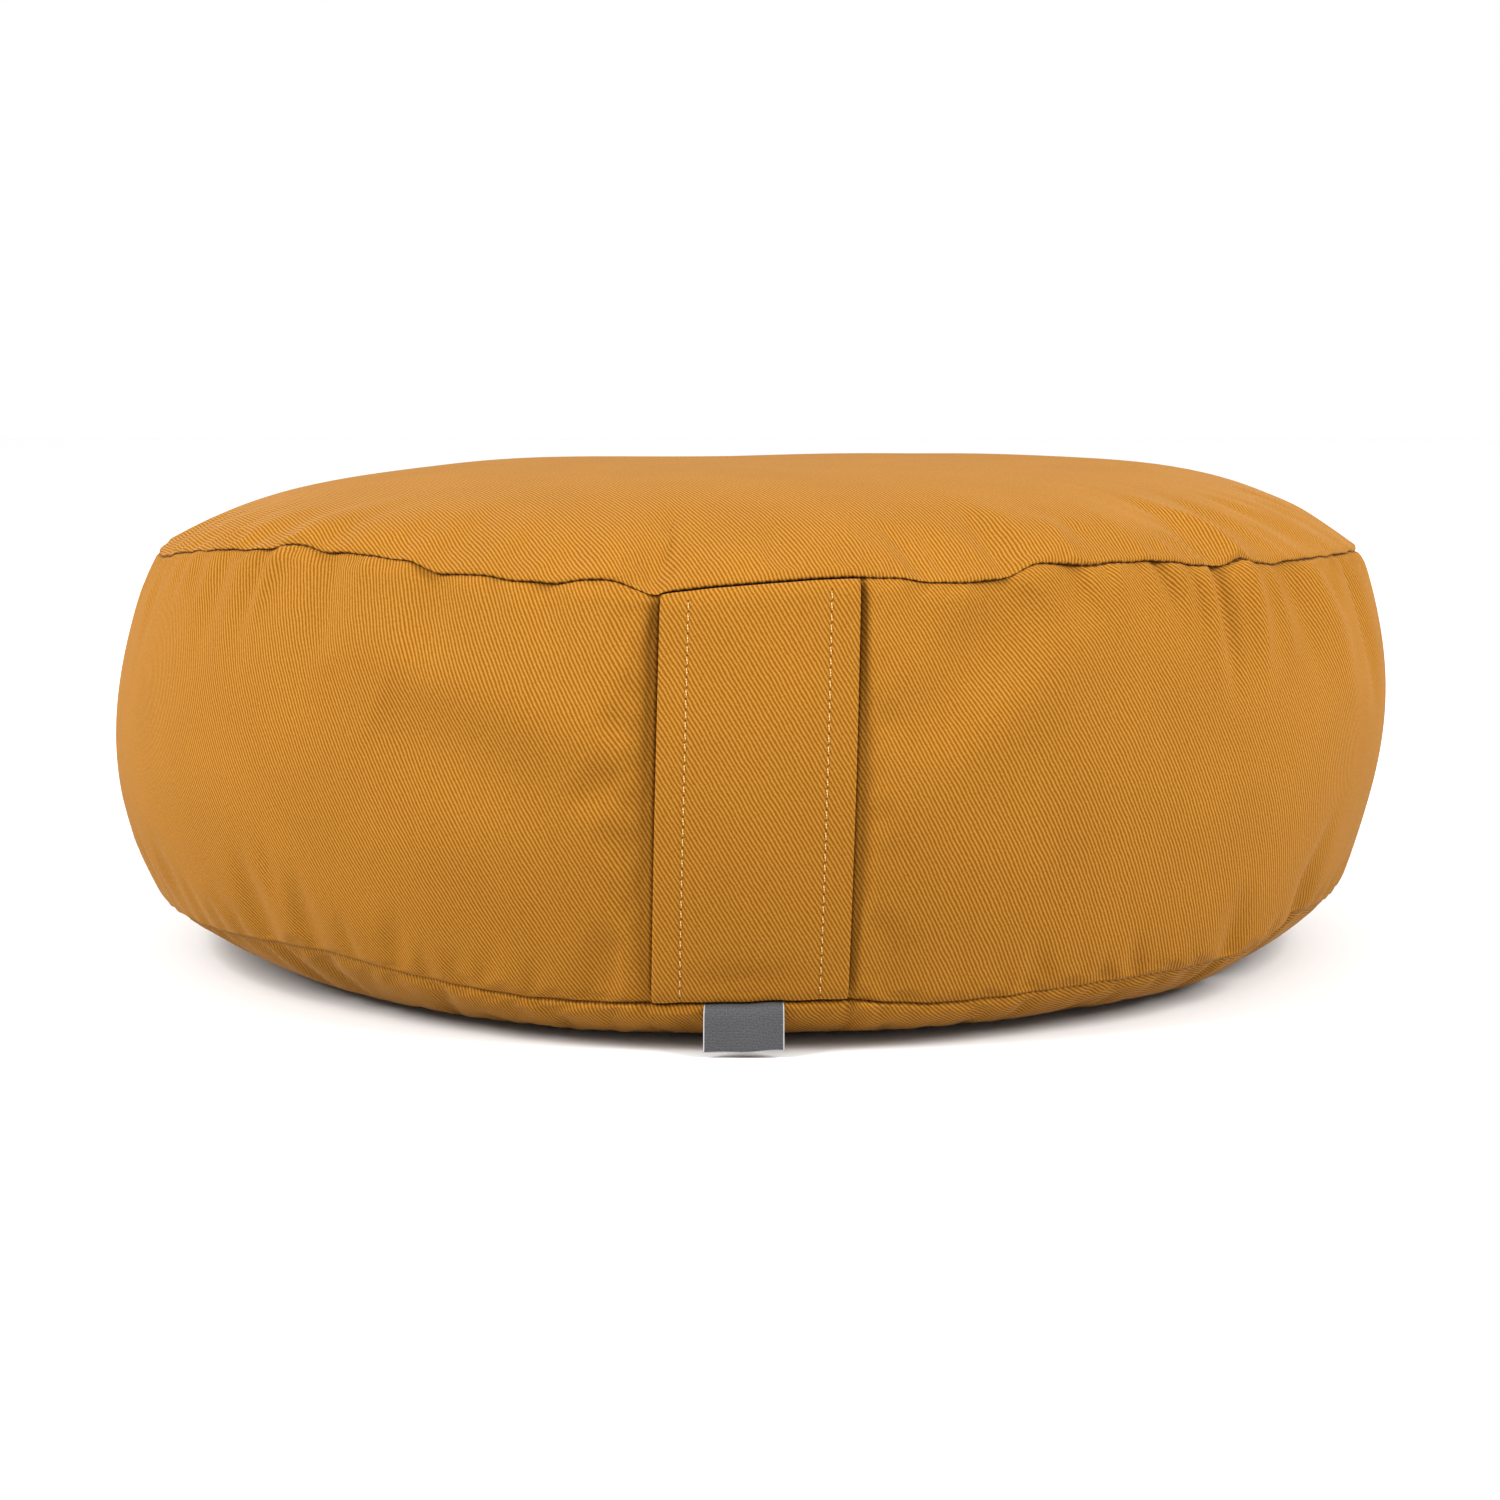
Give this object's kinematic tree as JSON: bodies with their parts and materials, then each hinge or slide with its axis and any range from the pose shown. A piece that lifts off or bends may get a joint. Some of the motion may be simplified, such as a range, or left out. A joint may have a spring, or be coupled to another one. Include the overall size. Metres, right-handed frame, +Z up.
{
  "type": "meditation cushion",
  "caption": "Round filled meditation cushion of ochre cotton twill: crowned top panel, bulging side band, carry strap sewn over the front of the band, plain grey tag at the bottom seam.",
  "frame": {"origin": "centre of the flat of the base, on the surface that the cushion rests on", "axes": "+Z up; the carry strap faces -Y; +X to the right of someone who faces the strap"},
  "size_m": [0.4206, 0.418, 0.1601],
  "materials": {
    "cover_twill": "matt ochre cotton twill",
    "strap_twill": "matt ochre cotton twill with pale topstitching",
    "tag_tape": "plain dark grey woven tape"
  },
  "bodies": {
    "root": {"cushion_body": "cover_twill", "carry_strap": "strap_twill", "side_tag": "tag_tape"}
  },
  "joints": []
}
